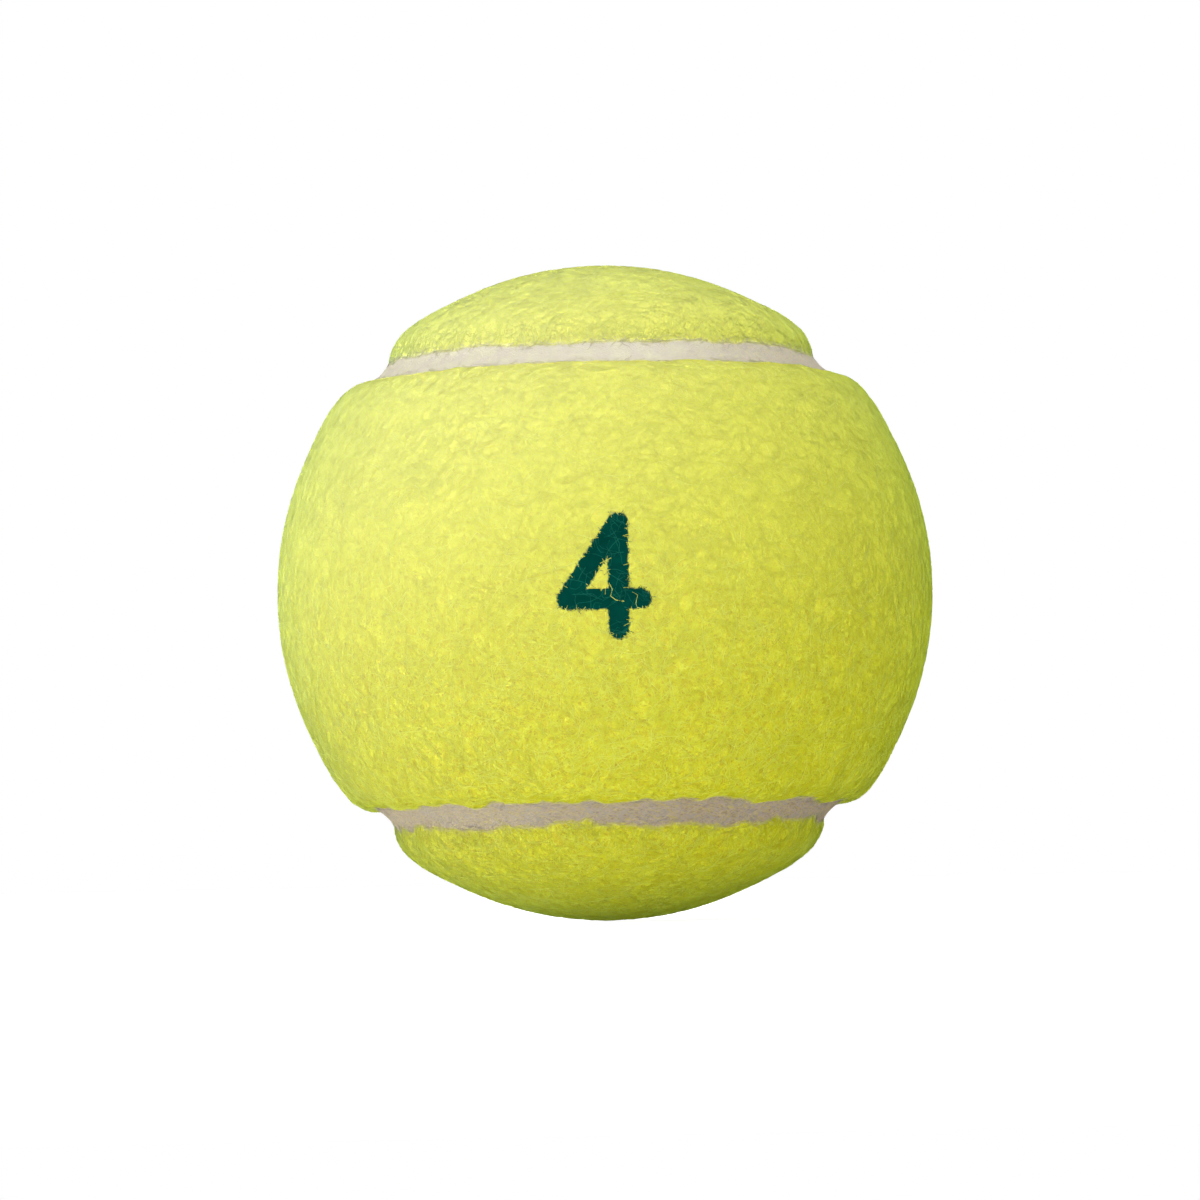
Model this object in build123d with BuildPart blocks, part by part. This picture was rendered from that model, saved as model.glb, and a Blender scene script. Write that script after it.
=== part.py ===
"""Tennis ball: a hollow rubber core, made of two cemented half shells, under two felt panels.

The panels are alike, and each wraps more than half way round the core. They meet along one endless
seam of seam rubber, which lies at the bottom of a groove with rounded felt shoulders.

Frame: origin at the ball's centre, +Z up, the front panel's waist faces -Y. The seam runs in four
half circles: two about Z over the front, and two about X over the back. They join, tangent to each
other, at four crossings in the XZ plane, half way between the X and Z axes.
"""

import os
from math import cos, sin, sqrt

from build123d import *

# Driving dimensions, in millimetres
ball_diameter = 66.0  # over the felt
felt_thickness = 3.3  # woven back and raised nap together
panel_cement_thickness = 0.2  # dried cement between a panel and the core
shell_wall = 3.5  # rubber half shells
shell_joint_thickness = 0.3  # cured cement between the two rims
shell_joint_bead_radius = 0.9  # cement squeezed out on the inside of the joint
seam_width = 2.6  # seam rubber between the panels' cut edges
groove_depth = 1.4  # from the felt's full height down to the seam rubber
shoulder_width = 3.2  # from the seam's edge to the felt's full height
shoulder_radius = 6.0  # rounding of the felt down to the seam
cut_overrun = 1.0  # how far a cut passes the faces that it cuts

# Sizes that follow
ball_radius = ball_diameter / 2
cloth_radius = ball_radius - felt_thickness
core_radius = cloth_radius - panel_cement_thickness
cavity_radius = core_radius - shell_wall
groove_floor_radius = ball_radius - groove_depth
seam_edge = seam_width / 2
shoulder_reach = seam_edge + shoulder_width
half_turn = 180  # degrees

# Core: two rubber half shells, and the cement that joins their rims

with BuildPart() as upper_half_shell:
    Sphere(core_radius)
    Sphere(cavity_radius, mode=Mode.SUBTRACT)
    split(bisect_by=Plane.XY.offset(shell_joint_thickness / 2), keep=Keep.TOP)

with BuildPart() as lower_half_shell:
    mirror(upper_half_shell.part, about=Plane.XY)

with BuildPart() as shell_joint_cement:
    Torus(cavity_radius, shell_joint_bead_radius)
    Sphere(cavity_radius, mode=Mode.INTERSECT)
    with BuildSketch(Plane.XY.offset(-shell_joint_thickness / 2)):
        Circle(core_radius)
        Circle(cavity_radius - shell_joint_bead_radius / 2, mode=Mode.SUBTRACT)
    extrude(amount=shell_joint_thickness)
    Sphere(core_radius, mode=Mode.INTERSECT)

# Cross-sections of the seam, with Y pointing out from the ball's centre

with BuildSketch() as seam_rubber_section:
    Circle(groove_floor_radius)
    Circle(core_radius, mode=Mode.SUBTRACT)
    with Locations((0, ball_radius)):
        Rectangle(seam_width, ball_diameter, mode=Mode.INTERSECT)

shoulder_foot = Vector(seam_edge, sqrt(groove_floor_radius**2 - seam_edge**2))
shoulder_direction = Vector(sin(shoulder_reach / ball_radius), cos(shoulder_reach / ball_radius))
shoulder_top = shoulder_direction * ball_radius
above_shoulder = shoulder_direction * (ball_radius + cut_overrun)
gap_bottom = core_radius - cut_overrun

with BuildSketch() as panel_gap_section:
    with BuildLine():
        Polyline((0, gap_bottom), (seam_edge, gap_bottom), shoulder_foot)
        RadiusArc(shoulder_foot, shoulder_top, -shoulder_radius)
        Line(shoulder_top, above_shoulder)
        RadiusArc(above_shoulder, (0, ball_radius + cut_overrun), ball_radius + cut_overrun)
        mirror(about=Plane.YZ)
    make_face()


def carry_round_the_seam(section):
    """Revolve a section from two opposite crossings: about Z over the front, about X over the back."""
    for side in (1, -1):
        crossing = Plane(origin=(0, 0, 0), x_dir=(side, 0, -side), z_dir=(0, -1, 0))
        with BuildSketch(crossing, mode=Mode.PRIVATE) as placed:
            add(section.sketch)
        for direction in ((0, 0, -side), (-side, 0, 0)):
            revolve(placed.sketch, axis=Axis((0, 0, 0), direction), revolution_arc=half_turn)


# Cover: two felt panels on their cement, and the seam between them

with BuildPart() as panel_gap:
    carry_round_the_seam(panel_gap_section)

with BuildPart() as felt_cover:
    Sphere(ball_radius)
    Sphere(cloth_radius, mode=Mode.SUBTRACT)
    add(panel_gap.part, mode=Mode.SUBTRACT)

with BuildPart() as cement_cover:
    Sphere(cloth_radius)
    Sphere(core_radius, mode=Mode.SUBTRACT)
    add(panel_gap.part, mode=Mode.SUBTRACT)

with BuildPart() as front_felt_panel:
    add(felt_cover.solids().sort_by(Axis.Y)[0])

with BuildPart() as back_felt_panel:
    add(felt_cover.solids().sort_by(Axis.Y)[-1])

with BuildPart() as front_panel_cement:
    add(cement_cover.solids().sort_by(Axis.Y)[0])

with BuildPart() as back_panel_cement:
    add(cement_cover.solids().sort_by(Axis.Y)[-1])

with BuildPart() as seam_rubber:
    carry_round_the_seam(seam_rubber_section)

# One STEP file for each piece

pieces = {
    "upper_half_shell": upper_half_shell,
    "lower_half_shell": lower_half_shell,
    "shell_joint_cement": shell_joint_cement,
    "front_panel_cement": front_panel_cement,
    "back_panel_cement": back_panel_cement,
    "front_felt_panel": front_felt_panel,
    "back_felt_panel": back_felt_panel,
    "seam_rubber": seam_rubber,
}

os.makedirs("parts", exist_ok=True)
for name, piece in pieces.items():
    piece.part.label = name
    export_step(piece.part, f"parts/{name}.step")
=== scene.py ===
"""Tennis ball: felt panels with their nap, the rubber seam between them and the hollow core inside."""

from math import cos, pi, radians, sin, sqrt

import bpy
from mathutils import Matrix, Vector


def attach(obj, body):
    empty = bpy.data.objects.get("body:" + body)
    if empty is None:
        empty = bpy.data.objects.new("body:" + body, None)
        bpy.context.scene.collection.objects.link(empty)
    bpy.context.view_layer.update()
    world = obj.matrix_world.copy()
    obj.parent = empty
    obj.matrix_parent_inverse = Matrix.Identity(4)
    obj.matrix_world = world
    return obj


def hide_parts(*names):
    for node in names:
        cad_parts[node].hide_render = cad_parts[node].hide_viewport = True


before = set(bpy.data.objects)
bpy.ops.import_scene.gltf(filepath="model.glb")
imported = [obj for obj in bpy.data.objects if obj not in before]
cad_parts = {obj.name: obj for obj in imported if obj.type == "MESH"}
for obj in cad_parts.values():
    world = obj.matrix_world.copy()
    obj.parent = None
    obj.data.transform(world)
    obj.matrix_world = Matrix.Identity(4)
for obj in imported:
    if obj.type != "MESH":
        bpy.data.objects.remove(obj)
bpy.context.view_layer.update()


# Rubber half shells
# Two moulded cups of dark filled rubber make the hollow core. Their rims are ground flat before
# they are cemented, and their outsides are roughened so that the panels' cement holds.

mm = 0.001


class Wire:
    """A socket in a node tree. Sums on it add Math nodes, and node() adds any other node."""

    def __init__(self, tree, socket=None):
        self.tree = tree
        self.socket = socket

    def node(self, kind, settings=None, sockets=None, output=0):
        made = self.tree.nodes.new(kind)
        for name, value in (settings or {}).items():
            setattr(made, name, value)
        for key, value in (sockets or {}).items():
            for each in value if isinstance(value, list) else [value]:
                if isinstance(each, Wire):
                    self.tree.links.new(each.socket, made.inputs[key])
                else:
                    made.inputs[key].default_value = each
        return Wire(self.tree, made.outputs[output])

    def other(self, output):
        return Wire(self.tree, self.socket.node.outputs[output])

    def math(self, operation, *values):
        return self.node("ShaderNodeMath", {"operation": operation}, dict(enumerate((self, *values))))

    def __add__(self, value):
        return self.math("ADD", value)

    def __sub__(self, value):
        return self.math("SUBTRACT", value)

    def __rsub__(self, value):
        return self.node("ShaderNodeMath", {"operation": "SUBTRACT"}, {0: value, 1: self})

    def __mul__(self, value):
        return self.math("MULTIPLY", value)

    def __truediv__(self, value):
        return self.math("DIVIDE", value)

    def __neg__(self):
        return self * -1

    __radd__ = __add__
    __rmul__ = __mul__

    def clamp(self):
        return self.node("ShaderNodeClamp", None, {"Value": self})

    def between(self, low, high):
        """0 below low, 1 above high, and a smooth step between."""
        sockets = {"Value": self, "From Min": low, "From Max": high}
        return self.node("ShaderNodeMapRange", {"interpolation_type": "SMOOTHSTEP"}, sockets)

    def ranging(self, at_0, at_1):
        """A number that goes from at_0 to at_1 as this goes from 0 to 1."""
        return at_0 + (at_1 - at_0) * self

    def blend(self, colour_at_0, colour_at_1):
        sockets = {0: self, 6: colour_at_0, 7: colour_at_1}
        return self.node("ShaderNodeMix", {"data_type": "RGBA"}, sockets, output=2)

    def vector(self, operation, *values):
        sockets = dict(enumerate((self, *values)))
        return self.node("ShaderNodeVectorMath", {"operation": operation}, sockets)

    def scaled(self, factor):
        return self.node("ShaderNodeVectorMath", {"operation": "SCALE"}, {0: self, "Scale": factor})

    def length(self):
        return self.node("ShaderNodeVectorMath", {"operation": "LENGTH"}, {0: self}, output=1)

    def xyz(self):
        x = self.node("ShaderNodeSeparateXYZ", None, {0: self})
        return x, x.other("Y"), x.other("Z")

    def noise(self, size, detail=2.0, w=0.0, distortion=0.0, output=0):
        """Noise from 0 to 1, with lumps of about this size, at the place that this vector names."""
        sockets = {"Vector": self, "W": w, "Scale": 1 / size, "Detail": detail, "Distortion": distortion}
        return self.node("ShaderNodeTexNoise", {"noise_dimensions": "4D"}, sockets, output)

    def uneven(self, reach, size, detail=2.0, w=0.0):
        """Noise about 0, which strays by up to half of this reach to either side."""
        middle = 0.5
        return reach * (self.noise(size, detail, w) - middle)


def new_material(name):
    """A material with its Principled shader, and the wire that reads places on the piece."""
    material = bpy.data.materials.new(name)
    material.use_nodes = True
    shader = material.node_tree.nodes["Principled BSDF"]
    place = Wire(material.node_tree).node("ShaderNodeTexCoord").other("Object")
    return material, shader, place


def feed(shader, **wires):
    """Link wires to the shader's sockets, or set numbers there. Underscores stand for spaces in names."""
    for name, wire in wires.items():
        socket = shader.inputs[name.replace("_", " ")]
        if isinstance(wire, Wire):
            wire.tree.links.new(wire.socket, socket)
        else:
            socket.default_value = wire


def bump(height, distance):
    """A normal that makes this height, from 0 to 1, stand out by this distance."""
    return height.node("ShaderNodeBump", None, {"Height": height, "Distance": distance})


def finish_node(node, material):
    """Give a CAD node this material in every slot."""
    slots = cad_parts[node].data.materials
    slots.clear()
    slots.append(material)


def radii(node):
    """Least and greatest distance of a CAD node's corners from the ball's centre."""
    lengths = [corner.co.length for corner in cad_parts[node].data.vertices]
    return min(lengths), max(lengths)


core_radius = radii("upper_half_shell")[1]
dark_rubber = (0.022, 0.020, 0.019, 1)
bloomed_rubber = (0.045, 0.041, 0.038, 1)
bloom_size = 9 * mm
tooth_size = 0.5 * mm
tooth_depth = 0.08 * mm
ground_rubber = (0.13, 0.12, 0.11, 1)
ground_share = 0.7
ground_near = 0.2 * mm
ground_far = 0.7 * mm

shell_rubber, shader, place = new_material("shell_rubber")
bloom = place.noise(bloom_size, detail=3)
tooth = place.noise(tooth_size, detail=4)
rim = 1 - place.xyz()[2].math("ABSOLUTE").between(ground_near, ground_far)
rubber = bloom.blend(dark_rubber, bloomed_rubber)
feed(shader, Base_Color=(rim * ground_share).blend(rubber, ground_rubber))
feed(shader, Roughness=tooth.ranging(0.62, 0.87), Normal=bump(tooth, tooth_depth))
for node in ("upper_half_shell", "lower_half_shell"):
    finish_node(node, shell_rubber)


# Cement
# Rubber solution joins the two rims and squeezes out into a bead inside, and it holds the panels to
# the core. It dries to a pale amber skin, thicker in some places than in others.

thin_cement = (0.62, 0.44, 0.19, 1)
thick_cement = (0.78, 0.66, 0.38, 1)
pool_size = 6 * mm
brush_mark_size = 1.1 * mm
brush_mark_depth = 0.1 * mm

cement, shader, place = new_material("cement")
pools = place.noise(pool_size, detail=4, distortion=0.6)
brush_marks = place.noise(brush_mark_size, detail=3)
feed(shader, Base_Color=pools.blend(thin_cement, thick_cement))
feed(shader, Roughness=brush_marks.ranging(0.35, 0.65), Normal=bump(brush_marks, brush_mark_depth))
for node in ("shell_joint_cement", "front_panel_cement", "back_panel_cement"):
    finish_node(node, cement)


# Felt panels
# Two like pieces of dyed woollen felt, cut to a dog bone and stretched over the cemented core. Each
# swells a little beside the seam and rounds down to it, and the front one has a plain number printed on.

cloth_radius, ball_radius = radii("front_felt_panel")
groove_floor = radii("seam_rubber")[1]
nap_depth = 0.25 * mm
felt_top = ball_radius - nap_depth
eighth_turn = pi / 4
sides = {"front": 1.0, "back": -1.0}


def combine(x, y, z):
    given = next(value for value in (x, y, z) if isinstance(value, Wire))
    return given.node("ShaderNodeCombineXYZ", None, {0: x, 1: y, 2: z})


def mix_vectors(share, at_0, at_1):
    return share.node("ShaderNodeMix", {"data_type": "VECTOR"}, {0: share, 4: at_0, 5: at_1}, output=1)


def axis_share(coordinate, low_share, high_share):
    """0 before one place along an axis and 1 past another, both given as shares of the ball's radius."""
    return coordinate.between(low_share * ball_radius, high_share * ball_radius)


def seam_angle(direction):
    """Angle from the seam's middle line at the centre: above 0 on the front panel, below on the back."""
    x, y, z = direction.xyz()
    over_front = eighth_turn - z.math("ABSOLUTE").math("ARCSINE")
    over_back = x.math("ABSOLUTE").math("ARCSINE") - eighth_turn
    return over_back + y.math("LESS_THAN", 0.0) * (over_front - over_back)


def across_to(direction, angle):
    """The direction square across the seam from this one, at this angle from the seam's middle line."""
    x, y, z = direction.xyz()
    latitude = eighth_turn - angle
    round_z = combine(x, y, 0.0).vector("NORMALIZE").scaled(latitude.math("COSINE"))
    round_z = round_z.vector("ADD", combine(0.0, 0.0, z.math("SIGN") * latitude.math("SINE")))
    reach = eighth_turn + angle
    round_x = combine(0.0, y, z).vector("NORMALIZE").scaled(reach.math("COSINE"))
    round_x = round_x.vector("ADD", combine(x.math("SIGN") * reach.math("SINE"), 0.0, 0.0))
    return mix_vectors(y.math("LESS_THAN", 0.0), round_x, round_z)


def cut_edge(direction, side):
    """Distance from the seam's middle line to a panel's cut edge, which is more ragged at the bottom."""
    seam_width = 3.2 * mm
    least_share = 0.25
    drift_reach = 1.2 * mm
    drift_size = 22 * mm
    waver_reach = 2.2 * mm
    waver_size = 8 * mm
    fray_reach = 1.7 * mm
    fray_size = 2.4 * mm
    no_angle = 0.0 * direction.xyz()[0]
    place = across_to(direction, no_angle).scaled(ball_radius)
    loose = axis_share(place.xyz()[2], -0.6, 0.5).ranging(1.5, 0.6)
    drift = place.uneven(drift_reach, drift_size, detail=1, w=11) * side
    waver = place.uneven(waver_reach, waver_size, detail=1, w=3 * side)
    fray = place.uneven(fray_reach, fray_size, detail=2, w=3 * side)
    edge = seam_width / 2 + drift + loose * (waver + fray)
    return edge.math("MAXIMUM", least_share * seam_width)


def from_cut_edge(direction, side):
    """Distance over the surface from a panel's cut edge, above 0 on the panel."""
    return side * seam_angle(direction) * ball_radius - cut_edge(direction, side)


def seam_floor(direction):
    """Distance of the seam rubber's creased surface, dished along its middle, from the ball's centre."""
    crease_depth = 0.1 * mm
    crease_size = 2.4 * mm
    dish_depth = 0.22 * mm
    dish_reach = 1.7 * mm
    creases = direction.scaled(ball_radius).uneven(crease_depth, crease_size)
    aside = seam_angle(direction) * ball_radius / dish_reach
    return groove_floor + creases - dish_depth * (1 - aside * aside).clamp()


def felt_height(direction, side):
    """Distance of the felt's surface from the centre: round shoulders, a swelling and soft lumps."""
    shoulder_width = 3.0 * mm
    swell_height = 0.22 * mm
    swell_place = 4.5 * mm
    swell_reach = 3.0 * mm
    lump_height = 0.08 * mm
    lump_size = 7 * mm
    from_edge = from_cut_edge(direction, side)
    climb = (from_edge / shoulder_width).clamp()
    rise = climb * (2 - climb)
    off_swell = (from_edge - swell_place) / swell_reach
    swell = swell_height * (-off_swell * off_swell).math("EXPONENT")
    lumps = direction.scaled(ball_radius).uneven(lump_height, lump_size)
    floor = seam_floor(direction)
    return floor + rise * (felt_top - floor + lumps) + swell


def new_tree(name, inputs):
    """A geometry tree with these named inputs, and the wires that read them."""
    tree = bpy.data.node_groups.new(name, "GeometryNodeTree")
    tree.interface.new_socket("Geometry", in_out="OUTPUT", socket_type="NodeSocketGeometry")
    for label, kind in {"Geometry": "Geometry", **inputs}.items():
        tree.interface.new_socket(label, in_out="INPUT", socket_type="NodeSocket" + kind)
    first = Wire(tree).node("NodeGroupInput")
    return tree, {label: first.other(label) for label in ("Geometry", *inputs)}


def realize(geometry):
    return geometry.node("GeometryNodeRealizeInstances", None, {0: geometry})


def paint(geometry, material, chosen=True):
    """Put a material on the chosen faces."""
    sockets = {0: geometry, "Selection": chosen, "Material": material}
    return geometry.node("GeometryNodeSetMaterial", None, sockets)


def end_tree(geometry):
    last = geometry.tree.nodes.new("NodeGroupOutput")
    geometry.tree.links.new(geometry.socket, last.inputs[0])


def store(geometry, name, kind, domain, value):
    """Keep a value on the mesh or the curves under this name."""
    settings = {"data_type": kind, "domain": domain}
    sockets = {0: geometry, "Name": name, "Value": value}
    return geometry.node("GeometryNodeStoreNamedAttribute", settings, sockets)


def recall(wire, name, kind):
    """Read a value that the mesh or the curves hold under this name."""
    return wire.node("GeometryNodeInputNamedAttribute", {"data_type": kind}, {"Name": name})


def move(geometry, **sockets):
    return geometry.node("GeometryNodeSetPosition", None, {0: geometry, **sockets})


def set_normals(geometry, domain, normal):
    settings = {"mode": "FREE", "domain": domain}
    return geometry.node("GeometryNodeSetMeshNormal", settings, {0: geometry, "Custom Normal": normal})


def grow(name, tree, mesh=None, **values):
    """Run a tree on a new object, with underscores for spaces in its inputs' names, and keep a plain mesh."""
    piece = bpy.data.objects.new(name, mesh.copy() if mesh else bpy.data.meshes.new(name))
    bpy.context.collection.objects.link(piece)
    modifier = piece.modifiers.new(name, "NODES")
    modifier.node_group = tree
    for item in tree.interface.items_tree:
        if item.in_out == "INPUT" and item.name.replace(" ", "_") in values:
            modifier[item.identifier] = values[item.name.replace(" ", "_")]
    graph = bpy.context.evaluated_depsgraph_get()
    result = bpy.data.meshes.new_from_object(
        piece.evaluated_get(graph), preserve_all_data_layers=True, depsgraph=graph
    )
    piece.modifiers.clear()
    piece.data = result
    result.name = name
    return piece


panel_fineness = 7
merge_distance = 0.001 * mm
surface_share = 0.7
panel_tree, inputs = new_tree("felt_panel", {"Side": "Float", "Fineness": "Int", "Felt": "Material"})
side = inputs["Side"]
sockets = {"Radius": 1.0, "Subdivisions": inputs["Fineness"]}
ball = side.node("GeometryNodeMeshIcoSphere", None, sockets)
direction = side.node("GeometryNodeInputPosition").vector("NORMALIZE")
past_edge = from_cut_edge(direction, side).math("LESS_THAN", 0.0)
settings = {"domain": "POINT", "data_type": "BOOLEAN"}
every_corner = side.node("GeometryNodeFieldOnDomain", settings, {0: past_edge})
panel = side.node("GeometryNodeDeleteGeometry", {"domain": "FACE"}, {0: ball, 1: every_corner})
on_edge = across_to(direction, side * cut_edge(direction, side) / ball_radius)
panel = move(panel, Selection=past_edge, Position=on_edge)
back = move(panel, Position=direction.scaled(cloth_radius))
raised = side.node("GeometryNodeExtrudeMesh", None, {0: back, "Offset Scale": 0.0, "Individual": False})
top = raised.other("Top")
raised = move(raised, Selection=top, Position=direction.scaled(felt_height(direction, side)))
raised = side.node("GeometryNodeSetShadeSmooth", None, {0: raised, "Selection": top})
raised = store(raised, "outside", "BOOLEAN", "FACE", top)
raised = store(raised, "from_edge", "FLOAT", "POINT", from_cut_edge(direction, side))
back = side.node("GeometryNodeFlipFaces", None, {0: back})
back = side.node("GeometryNodeSetShadeSmooth", None, {0: back})
panel = side.node("GeometryNodeJoinGeometry", None, {0: [raised, back]})
panel = side.node("GeometryNodeMergeByDistance", None, {0: panel, "Distance": merge_distance})
panel = realize(panel)
outside = recall(side, "outside", "BOOLEAN")
normal = side.node("GeometryNodeInputNormal")
soft_normal = direction.vector("ADD", normal.scaled(surface_share)).vector("NORMALIZE")
panel = set_normals(panel, "CORNER", mix_vectors(outside * 1.0, normal, soft_normal))
end_tree(paint(panel, inputs["Felt"]))


def matted(place, size, layers, ground, colours, cover=1.0):
    """Colour and height of a mat of fibres: layers of curly lines, in these colours, over a ground."""
    line_share = 0.06
    growth_share = 0.15
    layer_step = 7.3
    middle = 0.5
    colour = ground
    height = None
    for layer in range(layers):
        drift = place.noise(size * (1 + growth_share * layer), detail=1, w=layer_step * layer)
        line = 1 - (drift - middle).math("ABSOLUTE").between(0.0, line_share)
        colour = (cover * line).blend(colour, colours[layer % len(colours)])
        rise = line * ((layer + 1) / layers)
        height = height.math("MAXIMUM", rise) if height else rise
    return colour, height


def stored(place, name):
    """A number that the mesh holds at each of its corners."""
    return place.node("ShaderNodeAttribute", {"attribute_name": name}).other("Fac")


def felt_share(place, from_edge):
    """0 on the latex and 1 on the felt, with a soft ragged border along the cut edge."""
    border = 0.22 * mm
    ragged_reach = 0.5 * mm
    ragged_size = 0.3 * mm
    return (from_edge + place.uneven(ragged_reach, ragged_size)).between(-border, border)


def from_number(place):
    """Distance in the XZ plane from the strokes of the plain number on the front, below 0 in its ink."""
    stroke_width = 2.0 * mm
    foot = -5.0 * mm
    head = 5.0 * mm
    bar = -2.2 * mm
    corner = -3.6 * mm
    bar_end = 3.4 * mm
    stem = 1.3 * mm
    far = 1.0
    strokes = [
        ((stem, foot), (stem, head)),
        ((corner, bar), (bar_end, bar)),
        ((corner, bar), (stem, head)),
    ]
    x, y, z = place.xyz()
    behind = y.math("GREATER_THAN", 0.0)  # keeps every stroke a metre away from the back
    nearest = behind + far
    for (x_1, z_1), (x_2, z_2) in strokes:
        length = sqrt((x_2 - x_1) ** 2 + (z_2 - z_1) ** 2)
        right = (x_2 - x_1) / length
        up = (z_2 - z_1) / length
        along = ((x - x_1) * right + (z - z_1) * up) / length
        reach = along.clamp() * length
        off = combine(x - x_1 - reach * right, behind, z - z_1 - reach * up)
        nearest = nearest.math("MINIMUM", off.length())
    return nearest - stroke_width / 2


# Ground colours under the strands: partly the felt's deeper tone, partly painted shade between the fibres
deep_felt = (0.54, 0.42, 0.001, 1)
golden_felt = (0.67, 0.56, 0.003, 1)
mottle_size = 0.5 * mm
strand_tones = [(0.76, 0.74, 0.014, 1), (0.81, 0.825, 0.05, 1), (0.73, 0.70, 0.006, 1)]
strand_size = 0.4 * mm
strand_layers = 6
strand_depth = 0.01 * mm
thin_spot_size = 0.8 * mm
# Plain pale yellow that the upper half is blended towards: painted light
lit_top_felt = (0.77, 0.76, 0.04, 1)
lit_top_share = 0.75
latex = (0.56, 0.48, 0.34, 1)
lit_dip_latex = (0.82, 0.77, 0.46, 1)
felt_gloss = 0.15
nap_sheen = {"Sheen_Weight": 0.38, "Sheen_Roughness": 0.5, "Sheen_Tint": (0.35, 1.0, 0.15, 1)}

felt, shader, place = new_material("felt")
# The ground is darker and deeper golden than the strands. This is partly the felt's own deeper tone and
# partly painted shade between the fibres, which cast no shadows.
mottle = place.noise(mottle_size).between(0.3, 0.7)
ground = mottle.blend(deep_felt, golden_felt)
cover = place.noise(thin_spot_size, detail=1, w=5).between(0.34, 0.54).ranging(0.25, 1.0)
colour, height = matted(place, strand_size, strand_layers, ground, strand_tones, cover)
z = place.xyz()[2]
# Painted light: on the upper half the felt is blended towards one plain pale yellow, so its texture fades as
# on a brightly lit side.
colour = (lit_top_share * axis_share(z, -0.5, 0.4)).blend(colour, lit_top_felt)
# Painted light: the latex on the felt's border is paler on the upper half.
dipped = axis_share(z, -0.3, 0.3).blend(latex, lit_dip_latex)
feed(shader, Base_Color=felt_share(place, stored(place, "from_edge")).blend(dipped, colour))
feed(shader, Roughness=height.ranging(0.95, 0.85), Normal=bump(height, strand_depth))
feed(shader, Specular_IOR_Level=felt_gloss, **nap_sheen)

ink = (0.001, 0.070, 0.052, 1)
print_border = 0.1 * mm
print_fray = 0.5 * mm
print_fray_size = 0.4 * mm
frayed = from_number(place) + place.uneven(print_fray, print_fray_size, w=9)
unprinted = frayed.between(-print_border, print_border)
sockets = {"Base Color": ink, "Roughness": 0.9, "Specular IOR Level": 0.0}
inked = place.node("ShaderNodeBsdfPrincipled", None, sockets)
bare = Wire(place.tree, shader.outputs[0])
surface = place.node("ShaderNodeMixShader", None, {0: unprinted, 1: inked, 2: bare})
place.tree.links.new(surface.socket, place.tree.nodes["Material Output"].inputs["Surface"])

panels = {}
for which in sides:
    panels[which] = grow(f"{which}_felt", panel_tree, Side=sides[which], Fineness=panel_fineness, Felt=felt)


# Nap
# The felt's outside is brushed up into a mat of curly wool and nylon fibres, a few millimetres long,
# which lie mostly flat and cross each other. Some are paler than others, and a few reach over the seam.

def fibre_material(name, colour, specular=felt_gloss, **more):
    material, shader, place = new_material(name)
    feed(shader, Base_Color=colour, Roughness=0.9, Specular_IOR_Level=specular, **more)
    return material


nap_colours = [
    fibre_material("fibre_pale", (0.85, 0.875, 0.085, 1), **nap_sheen),
    fibre_material("fibre_lemon", (0.805, 0.805, 0.02, 1), **nap_sheen),
    fibre_material("fibre_gold", (0.745, 0.695, 0.003, 1), **nap_sheen),
    fibre_material("fibre_half_dipped", (0.76, 0.72, 0.10, 1), **nap_sheen),
    fibre_material("fibre_dipped", (0.70, 0.62, 0.26, 1), **nap_sheen),
    fibre_material("fibre_inked_pale", (0.015, 0.17, 0.12, 1), specular=0.0),
    fibre_material("fibre_inked", ink, specular=0.0),
]
least_shades = {"First": -9.0, "Second": 0.22, "Third": 0.72}
dip_shares = {"Half Dipped": 1.0, "Dipped": 0.35}
least_soakings = {"Pale Ink": 0.01, "Ink": 0.3}
finishes = (*least_shades, *dip_shares, *least_soakings)
measures = (
    "Side", "Density", "Reach", "Shortest", "Longest", "Fibre Radius", "Lift", "Curl", "Roundness",
    "Overhang", "Paler Upwards", "Mixed Above", "Mixed Below", "Dip Reach",
)
kinds = dict.fromkeys(measures, "Float") | {"Seed": "Int"} | dict.fromkeys(finishes, "Material")
nap_tree, inputs = new_tree("nap", kinds)
side = inputs["Side"]


def random_number(low, high, identity, seed):
    sockets = {2: low, 3: high, "ID": identity, "Seed": seed}
    return identity.node("FunctionNodeRandomValue", None, sockets, output=1)


def resample(strands, count):
    return strands.node("GeometryNodeResampleCurve", None, {0: strands, "Count": count})


# Fibres: straight lines at random places and angles, which are bent at a few points
least_tilt = -0.5
greatest_tilt = 0.15
bend_points = 4
bend_size = 0.9 * mm
strand_step = 1.37
noise_middle = (0.5, 0.5, 0.5)
outside = recall(side, "outside", "BOOLEAN")
position = side.node("GeometryNodeInputPosition")
direction = position.vector("NORMALIZE")
near_edge = from_cut_edge(direction, side).math("LESS_THAN", inputs["Reach"])
sockets = {0: inputs["Geometry"], "Selection": outside * near_edge}
sockets |= {"Density": inputs["Density"], "Seed": inputs["Seed"]}
roots = side.node("GeometryNodeDistributePointsOnFaces", None, sockets)
index = side.node("GeometryNodeInputIndex")
length = random_number(0.0, 1.0, index, 1)
length = inputs["Shortest"] + (inputs["Longest"] - inputs["Shortest"]) * length * length
tilt = random_number(least_tilt, greatest_tilt, index, 2)
turn = combine(0.0, tilt, random_number(0.0, 2 * pi, index, 3))
turn = side.node("FunctionNodeEulerToRotation", None, {0: turn})
sockets = {0: roots.other("Rotation"), 1: turn}
turn = side.node("FunctionNodeRotateRotation", {"rotation_space": "LOCAL"}, sockets)
line = side.node("GeometryNodeCurvePrimitiveLine", None, {"Start": (-0.5, 0, 0), "End": (0.5, 0, 0)})
sockets = {0: roots, "Instance": line, "Rotation": turn, "Scale": combine(length, length, length)}
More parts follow.
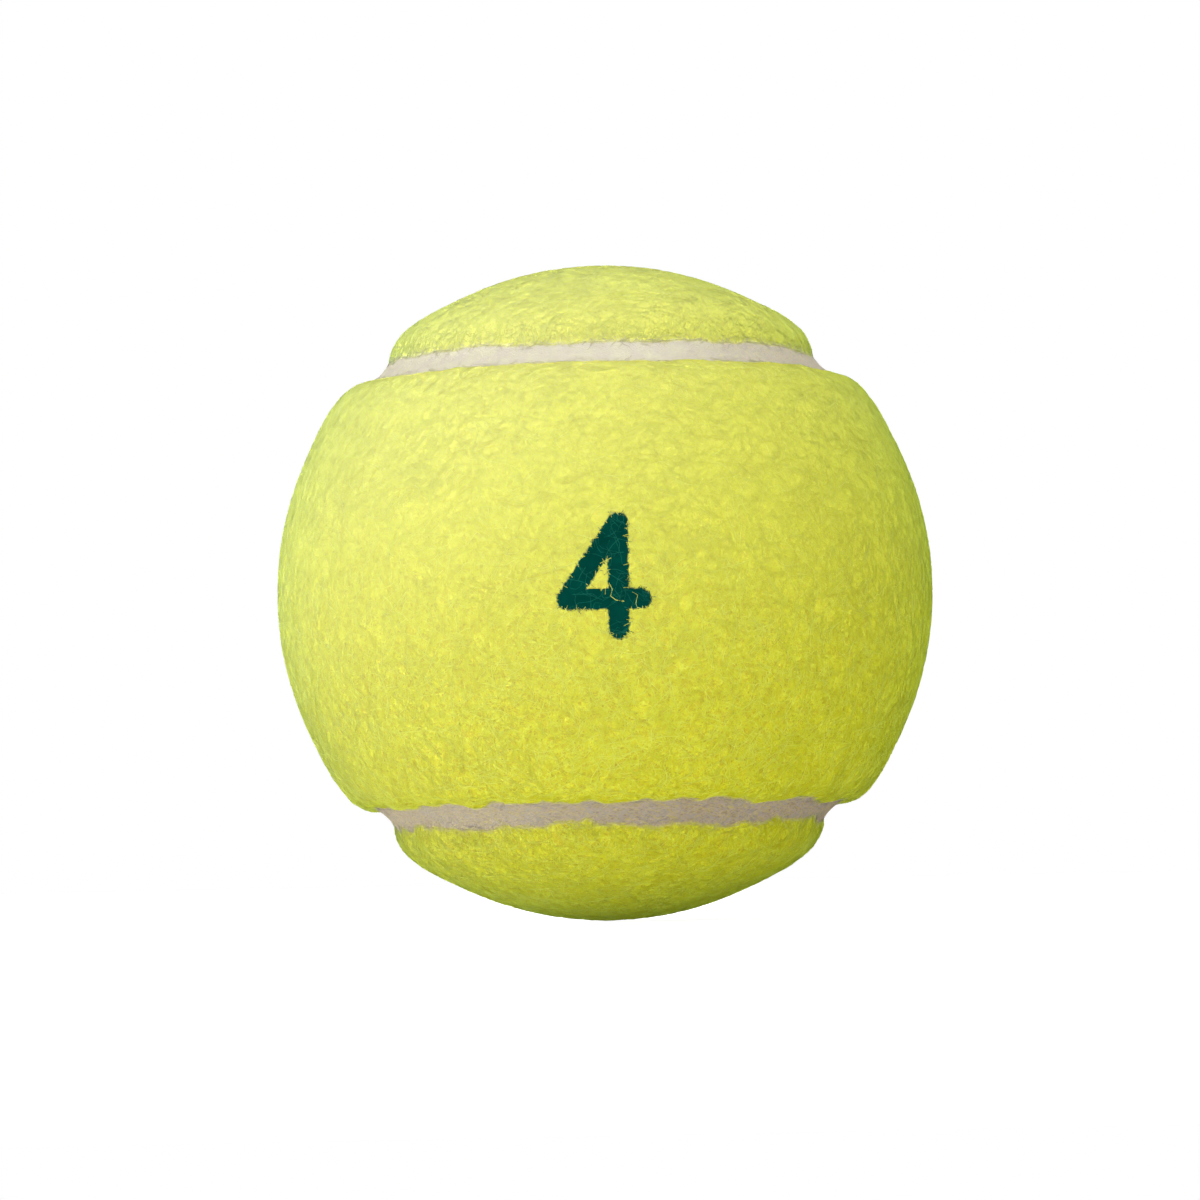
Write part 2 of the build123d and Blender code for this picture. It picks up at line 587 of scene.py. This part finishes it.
strands = realize(side.node("GeometryNodeInstanceOnPoints", None, sockets))
strands = resample(strands, bend_points)
strand = side.node("GeometryNodeCurveOfPoint")
wander = position.noise(bend_size, detail=0, w=strand * strand_step, output=1)
wander = wander.vector("SUBTRACT", noise_middle).scaled(inputs["Curl"])
strands = move(strands, Offset=wander)

# Drape: the fibres follow the felt in low arches, and those past a cut edge are drawn back towards it
fibre_points = 5
arch_turn = 0.85 * pi
least_lift_share = 0.15
least_held_share = 0.1
strands = side.node("GeometryNodeCurveSplineType", {"spline_type": "CATMULL_ROM"}, {0: strands})
strands = resample(strands, fibre_points)
edge = cut_edge(direction, side)
from_edge = side * seam_angle(direction) * ball_radius - edge
held = inputs["Overhang"] * random_number(least_held_share, 1.0, strand, 7)
from_edge = from_edge.math("MAXIMUM", from_edge * held.math("MINIMUM", 1.0))
drawn_back = across_to(direction, side * (edge + from_edge) / ball_radius)
along = side.node("GeometryNodeSplineParameter")
lift = inputs["Lift"] * random_number(least_lift_share, 1.0, strand, 4)
arch = (along * arch_turn).math("SINE") * lift
strands = move(strands, Position=drawn_back.scaled(felt_height(drawn_back, side) + arch))

# Skin: three-sided fibres, thinner towards one end, with soft normals and a finish for each
fibre_sides = 3
taper = 0.5
least_width_share = 0.7
greatest_width_share = 1.3
mean_shade = 0.5
z = position.xyz()[2]
# Painted light: fibre shades are spread less on the upper half and more on the lower, so the lit top looks
# even and the shaded bottom more contrasty.
upper = axis_share(z, -0.6, 0.3)
mixing = inputs["Mixed Below"] + (inputs["Mixed Above"] - inputs["Mixed Below"]) * upper
shade = mean_shade + (random_number(0.0, 1.0, strand, 5) - mean_shade) * mixing
shade = shade - inputs["Paler Upwards"] * z / ball_radius
strands = store(strands, "shade", "FLOAT", "POINT", shade)
strands = store(strands, "soaking", "FLOAT", "POINT", random_number(0.0, 1.0, strand, 8))
sockets = {"Resolution": fibre_sides, "Radius": 1.0}
profile = side.node("GeometryNodeCurvePrimitiveCircle", None, sockets)
width = inputs["Fibre Radius"] * random_number(least_width_share, greatest_width_share, strand, 6)
width = width * (1 - taper * along)
sockets = {0: strands, "Profile Curve": profile, "Scale": width, "Fill Caps": True}
mat = side.node("GeometryNodeCurveToMesh", None, sockets)
mat = realize(side.node("GeometryNodeSetShadeSmooth", None, {0: mat}))
round_normal = side.node("GeometryNodeInputNormal").scaled(inputs["Roundness"])
mat = set_normals(mat, "POINT", direction.vector("ADD", round_normal).vector("NORMALIZE"))
shade = recall(side, "shade", "FLOAT")
for finish, least_shade in least_shades.items():
    mat = paint(mat, inputs[finish], shade.math("GREATER_THAN", least_shade))
soaking = recall(side, "soaking", "FLOAT")
from_edge = from_cut_edge(direction, side)
for finish, dip_share in dip_shares.items():
    mat = paint(mat, inputs[finish], from_edge.math("LESS_THAN", dip_share * soaking * inputs["Dip Reach"]))
printed = from_number(position).math("LESS_THAN", 0.0)
for finish, least_soaking in least_soakings.items():
    mat = paint(mat, inputs[finish], printed * soaking.math("GREATER_THAN", least_soaking))
end_tree(mat)


def grow_fibres(name, mesh, side, seed, materials, slot, **sizes):
    """A piece made of fibres that lie on this mesh."""
    colours = {finish.replace(" ", "_"): material for finish, material in zip(finishes, materials)}
    piece = grow(name, nap_tree, mesh, Side=side, Seed=seed, **colours, **sizes)
    piece.visible_shadow = False
    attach(piece, "root")
    return piece


mat_sizes = {
    "Density": 1.13e6,
    "Reach": 1.0,
    "Shortest": 1.0 * mm,
    "Longest": 4.2 * mm,
    "Fibre_Radius": 0.034 * mm,
    "Lift": 0.12 * mm,
    "Curl": 2.4 * mm,
    "Roundness": 0.1,
    "Overhang": 0.5,
    "Paler_Upwards": 0.0,
    # Less spread of shades above and more below: painted light
    "Mixed_Above": 0.65,
    "Mixed_Below": 1.9,
    "Dip_Reach": 0.5 * mm,
}
edge_sizes = {**mat_sizes, "Density": 4e6, "Reach": 0.6 * mm, "Shortest": 0.5 * mm, "Longest": 1.8 * mm}
edge_sizes |= {"Overhang": 1.1, "Lift": 0.08 * mm, "Dip_Reach": 0.7 * mm}
main_layers = ("nap_1", "nap_2", "nap_3", "nap_4")
nap_layers = dict.fromkeys(main_layers, mat_sizes) | {"edge_nap": edge_sizes}
for which, panel in panels.items():
    for layer, (part_name, sizes) in enumerate(nap_layers.items(), start=1):
        seed = 10 * layer + (which == "back")
        name = f"{which}_{part_name}"
        grow_fibres(name, panel.data, sides[which], seed, nap_colours, "felt", **sizes)
    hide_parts(f"{which}_felt_panel")
    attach(panel, "root")


# Seam rubber
# One endless strip of pale latex, which the panels' dipped edges leave between them. It lies at the
# bottom of the groove, draws up a little against the felt on both sides, and is blotched and creased.

strip_steps = 220
strip_cuts = 9
strip_width = 2.9 * mm
tuck = 0.4 * mm
meniscus_height = 0.05 * mm
strip_merge_distance = 0.01 * mm
bare_height = 0.95
seam_tree, inputs = new_tree("seam", {"Steps": "Int", "Width": "Float", "Rubber": "Material"})
steps = inputs["Steps"]
middle_radius = (core_radius + groove_floor) / 2
strip_depth = groove_floor - core_radius
sockets = {"Resolution": steps, "Radius": middle_radius * cos(eighth_turn)}
sockets |= {"Start Angle": pi, "Sweep Angle": pi}
arc = steps.node("GeometryNodeCurveArc", {"mode": "RADIUS"}, sockets)
sockets = {0: arc, "Translation": (0, 0, middle_radius * sin(eighth_turn))}
arc = steps.node("GeometryNodeTransform", None, sockets)
arcs = [arc]
for axis in ((0, 1, 0), (1, 0, 1), (1, 0, -1)):
    half_turn = steps.node("FunctionNodeAxisAngleToRotation", None, {"Axis": axis, "Angle": pi})
    arcs.append(steps.node("GeometryNodeTransform", None, {0: arc, "Rotation": half_turn}))
path = steps.node("GeometryNodeJoinGeometry", None, {0: arcs})
position = steps.node("GeometryNodeInputPosition")
direction = position.vector("NORMALIZE")
path = steps.node("GeometryNodeSetCurveNormal", {"mode": "FREE"}, {0: path, "Normal": direction})
sockets = {"Width": strip_depth, "Height": inputs["Width"]}
section = steps.node("GeometryNodeCurvePrimitiveQuadrilateral", None, sockets)
section = steps.node("GeometryNodeSubdivideCurve", None, {0: section, "Cuts": strip_cuts})
strip = steps.node("GeometryNodeCurveToMesh", None, {0: path, "Profile Curve": section})
strip = steps.node("GeometryNodeMergeByDistance", None, {0: strip, "Distance": strip_merge_distance})
radius = position.length()
angle = seam_angle(direction)
across = radius * angle.math("SINE") / (inputs["Width"] / 2)
height = (radius * angle.math("COSINE") - core_radius) / strip_depth
meniscus = meniscus_height * across * across * across * across
edge = cut_edge(direction, across.math("SIGN"))
outwards = across_to(direction, across * (edge + tuck) / ball_radius)
new_radius = core_radius + height * (seam_floor(outwards) - core_radius + meniscus)
strip = move(strip, Position=outwards.scaled(new_radius))
inside_edge = edge - angle.math("ABSOLUTE") * ball_radius
bare = height.math("GREATER_THAN", bare_height) * inside_edge.math("GREATER_THAN", 0.0)
strip = store(strip, "outside", "BOOLEAN", "FACE", bare)
strip = store(strip, "from_edge", "FLOAT", "POINT", inside_edge)
strip = realize(steps.node("GeometryNodeSetShadeSmooth", None, {0: strip}))
end_tree(paint(strip, inputs["Rubber"]))

# Finish: slanting fibres soaked in latex, with painted light that makes it paler at the top and at the left,
# and yellow at both borders, painted lighter above
deep_latex = (0.275, 0.21, 0.165, 1)
tan_latex = (0.42, 0.32, 0.19, 1)
streak_size = 0.5 * mm
streak_stretch = 0.25
grey_latex = (0.30, 0.27, 0.255, 1)
blotch_size = 3.2 * mm
soaked_tones = [(0.56, 0.465, 0.19, 1), (0.51, 0.40, 0.33, 1), (0.40, 0.35, 0.31, 1)]
soaked_size = 0.36 * mm
soaked_layers = 3
soaked_cover = 0.75
soaked_depth = 0.02 * mm
soaked_slants = (radians(35), radians(-20))
soaked_stretch = 0.3
# Paler mauve and cream for painted light on the seam's top and left
lit_mauve = (0.87, 0.80, 0.68, 1)
lit_cream = (0.95, 0.91, 0.70, 1)
lit_patch_size = 1.6 * mm
border_reach = 0.12 * mm
border_below = (0.72, 0.65, 0.08, 1)
border_above = (0.80, 0.76, 0.14, 1)

seam_rubber, shader, place = new_material("seam_rubber")
x, y, z = place.xyz()
in_front = y.math("LESS_THAN", 0.0)
along = in_front * x.math("ARCTAN2", -y) + (1 - in_front) * z.math("ARCTAN2", y)
along = along * ball_radius * cos(eighth_turn)
across = seam_angle(place.vector("NORMALIZE")) * ball_radius
streaks = combine(along * streak_stretch, across, 0.0).noise(streak_size, detail=3, distortion=0.4)
colour = streaks.between(0.3, 0.7).blend(deep_latex, tan_latex)
colour = place.noise(blotch_size, detail=4).between(0.45, 0.7).blend(colour, grey_latex)
heights = []
for slant in soaked_slants:
    lengthwise = soaked_stretch * (along * cos(slant) + across * sin(slant))
    slanted = combine(lengthwise, across * cos(slant) - along * sin(slant), 0.0)
    colour, height = matted(slanted, soaked_size, soaked_layers, colour, soaked_tones, soaked_cover)
    heights.append(height)
height = heights[1].math("MAXIMUM", heights[0])
# Painted light: the latex is blended towards paler mauve and cream at the top and towards the left, where the
# lamps fall, and only a little at the bottom left.
painted_lit_latex = place.noise(lit_patch_size, detail=3, w=4).between(0.3, 0.7).blend(lit_mauve, lit_cream)
upper = axis_share(z, -0.3, 0.3)
at_top = axis_share(-x, -0.6, -0.05).ranging(0.46, 0.83)
at_bottom = axis_share(-x, -0.3, 0.5).ranging(0.0, 0.16)
colour = (upper * at_top + (1 - upper) * at_bottom).blend(colour, painted_lit_latex)
# The yellow border is lighter above than below: painted light from above.
border = upper.blend(border_below, border_above)
colour = felt_share(place, border_reach - stored(place, "from_edge")).blend(colour, border)
feed(shader, Base_Color=colour, Roughness=height.ranging(0.9, 0.7))
feed(shader, Normal=bump(height, soaked_depth), Specular_IOR_Level=0.0)

seam = grow("seam", seam_tree, Steps=strip_steps, Width=strip_width, Rubber=seam_rubber)
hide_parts("seam_rubber")
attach(seam, "root")

# Fibres stuck in the latex, which keep the seam's colours where the nap's would be dipped or inked
pale = fibre_material("seam_fibre_pale", (0.73, 0.67, 0.45, 1), specular=0.0)
mauve = fibre_material("seam_fibre_mauve", (0.55, 0.445, 0.33, 1), specular=0.0)
grey = fibre_material("seam_fibre_grey", (0.43, 0.37, 0.30, 1), specular=0.0)
seam_colours = [pale, mauve, grey, pale, mauve, pale, mauve]
seam_seed = 60
seam_sizes = {**mat_sizes, "Density": 3e6, "Shortest": 0.6 * mm, "Longest": 2.2 * mm, "Lift": 0.09 * mm}
# Painted light: the seam's fibres are paler towards the top.
seam_sizes |= {"Fibre_Radius": 0.026 * mm, "Overhang": 10.0, "Paler_Upwards": 0.8}
seam_sizes |= {"Mixed_Above": 1.0, "Mixed_Below": 1.0, "Dip_Reach": -1.0}
front = sides["front"]
grow_fibres("seam_fibres", seam.data, front, seam_seed, seam_colours, "seam_rubber", **seam_sizes)


# Studio
# A white floor and a white surrounding, with a soft key lamp and a top lamp. A third lamp at the left
# only puts a sheen on the fibres. The camera looks up from a little below the ball's middle.

def add_lamp(name, place, size, power):
    """A round lamp that points at the ball."""
    lamp = bpy.data.lights.new(name, "AREA")
    lamp.shape = "DISK"
    lamp.size = size
    lamp.energy = power
    holder = bpy.data.objects.new(name, lamp)
    holder.location = place
    holder.rotation_euler = (-Vector(place)).to_track_quat("-Z", "Y").to_euler()
    bpy.context.collection.objects.link(holder)
    return holder


def light_paths_seen(wire):
    """1 for what the camera, a reflection or glass shows, 0 for light that falls on a surface."""
    path = wire.node("ShaderNodeLightPath")
    rays = path.other("Is Camera Ray") + path.other("Is Glossy Ray") + path.other("Is Transmission Ray")
    return rays.clamp()


add_lamp("key", place=(-0.12, -0.44, 0.78), size=1.3, power=3.7)
add_lamp("top_lamp", place=(0.20, -0.20, 0.85), size=1.3, power=2.5)
sheen_lamp = add_lamp("sheen_lamp", place=(-0.45, -0.40, 0.58), size=1.6, power=370.0)
sheen_lamp.visible_diffuse = False

white = (1, 1, 1, 1)
surrounding_light = 0.35
surrounding_seen = 1.0
world = bpy.data.worlds.new("surrounding")
bpy.context.scene.world = world
world.use_nodes = True
sky = world.node_tree.nodes["Background"]
seen = light_paths_seen(Wire(world.node_tree))
feed(sky, Color=white, Strength=seen.ranging(surrounding_light, surrounding_seen))

floor_reach = 3.0
bounced_colour = (0.4, 0.4, 0.4, 1)
seen_colour = (0.14, 0.14, 0.14, 1)
bounced_glow = 0.19
seen_glow = 0.90
mesh = bpy.data.meshes.new("floor")
corners = ((-1, -1), (1, -1), (1, 1), (-1, 1))
mesh.from_pydata([(floor_reach * x, floor_reach * y, -ball_radius) for x, y in corners], [], [(0, 1, 2, 3)])
floor = bpy.data.objects.new("floor", mesh)
bpy.context.collection.objects.link(floor)
floor_white, shader, place = new_material("floor_white")
seen = light_paths_seen(place)
feed(shader, Base_Color=seen.blend(bounced_colour, seen_colour), Roughness=1.0)
feed(shader, Emission_Color=white, Emission_Strength=seen.ranging(bounced_glow, seen_glow))
floor.data.materials.append(floor_white)

frame_pixels = 1200
ball_pixels = (605, 593)
outline_pixels = 329
view_distance = 17 * ball_radius
view_drop = radians(2.9)
view_roll = radians(1.1)
camera = bpy.data.cameras.new("camera")
focal_pixels = outline_pixels * sqrt(view_distance**2 - ball_radius**2) / ball_radius
camera.lens = camera.sensor_width * focal_pixels / frame_pixels
viewer = bpy.data.objects.new("camera", camera)
bpy.context.collection.objects.link(viewer)
viewer.location = (0, -view_distance * cos(view_drop), -view_distance * sin(view_drop))
looking = Vector((0, cos(view_drop), sin(view_drop)))
viewer.rotation_euler = looking.to_track_quat("-Z", "Y").to_euler()
viewer.rotation_euler.rotate_axis("Z", -view_roll)
camera.shift_x = (frame_pixels / 2 - ball_pixels[0]) / frame_pixels
camera.shift_y = (ball_pixels[1] - frame_pixels / 2) / frame_pixels
bpy.context.scene.camera = viewer
bpy.context.scene.view_settings.view_transform = "Standard"
